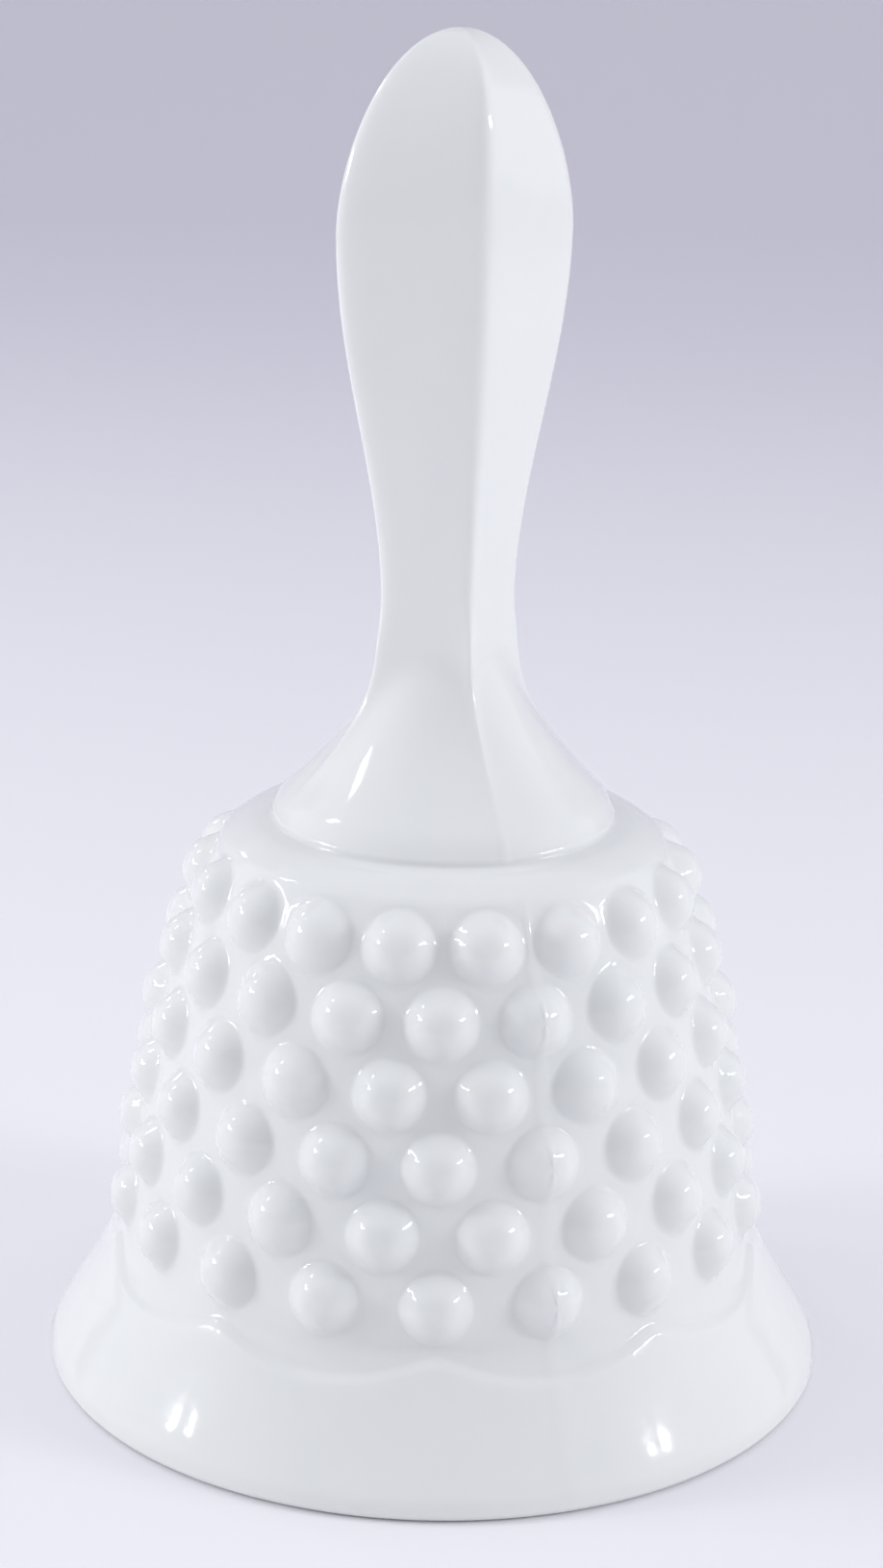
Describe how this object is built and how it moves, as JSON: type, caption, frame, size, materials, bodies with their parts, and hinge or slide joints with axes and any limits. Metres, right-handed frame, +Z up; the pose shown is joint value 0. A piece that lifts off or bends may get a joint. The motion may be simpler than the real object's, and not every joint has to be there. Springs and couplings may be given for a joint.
{
  "type": "glass bell",
  "caption": "Hobnail hand bell of pressed opal glass with a four-sided handle, a flared skirt and a ball clapper on a wire chain.",
  "frame": {"origin": "centre of the rim plane that the bell stands on", "axes": "+Z up the handle; -Y is the front, +X the right of someone who faces the front"},
  "size_m": [0.09, 0.09, 0.152],
  "materials": {
    "opal_glass": "gloss",
    "cement": "matte",
    "nickel_plate": "polished",
    "nickel_wire": "polished",
    "polished_steel": "polished"
  },
  "bodies": {
    "bell": {"glass_bell": "opal_glass", "crown_cement": "cement", "hanger_plate": "nickel_plate", "hanger_eye": "nickel_wire"},
    "link_1": {"chain_link_1": "nickel_wire"},
    "link_2": {"chain_link_2": "nickel_wire"},
    "link_3": {"chain_link_3": "nickel_wire"},
    "link_4": {"chain_link_4": "nickel_wire"},
    "link_5": {"chain_link_5": "nickel_wire"},
    "link_6": {"chain_link_6": "nickel_wire"},
    "link_7": {"chain_link_7": "nickel_wire"},
    "clapper": {"clapper_pin": "nickel_wire", "clapper_cap": "nickel_plate", "clapper_washer": "nickel_plate"},
    "ball": {"clapper_ball": "polished_steel"}
  },
  "joints": [
    {"name": "side_swing", "type": "hinge", "parent": "bell", "child": "link_1", "pos_m": [0, 0, 0.0557], "axis": [0, 1, 0], "range_deg": [-32.1, 32.1]},
    {"name": "cross_swing", "type": "hinge", "parent": "link_1", "child": "link_2", "pos_m": [0, 0, 0.05205], "axis": [1, 0, 0], "range_deg": [-8, 8]},
    {"name": "link_3_bend_side", "type": "hinge", "parent": "link_2", "child": "link_3", "pos_m": [0, 0, 0.0483], "axis": [0, 1, 0], "range_deg": [-4.87, 4.87]},
    {"name": "link_4_bend_cross", "type": "hinge", "parent": "link_3", "child": "link_4", "pos_m": [0, 0, 0.04455], "axis": [1, 0, 0], "range_deg": [-1.25, 1.25]},
    {"name": "link_5_bend_side", "type": "hinge", "parent": "link_4", "child": "link_5", "pos_m": [0, 0, 0.0408], "axis": [0, 1, 0], "range_deg": [-4.87, 4.87]},
    {"name": "link_6_bend_cross", "type": "hinge", "parent": "link_5", "child": "link_6", "pos_m": [0, 0, 0.03705], "axis": [1, 0, 0], "range_deg": [-1.25, 1.25]},
    {"name": "link_7_bend_side", "type": "hinge", "parent": "link_6", "child": "link_7", "pos_m": [0, 0, 0.0333], "axis": [0, 1, 0], "range_deg": [-4.87, 4.87]},
    {"name": "clapper_bend_cross", "type": "hinge", "parent": "link_7", "child": "clapper", "pos_m": [0, 0, 0.02955], "axis": [1, 0, 0], "range_deg": [-1.25, 1.25]},
    {"name": "ball_turn", "type": "hinge", "parent": "clapper", "child": "ball", "pos_m": [0, 0, 0.0195], "axis": [0, 0, 1], "continuous": true}
  ]
}
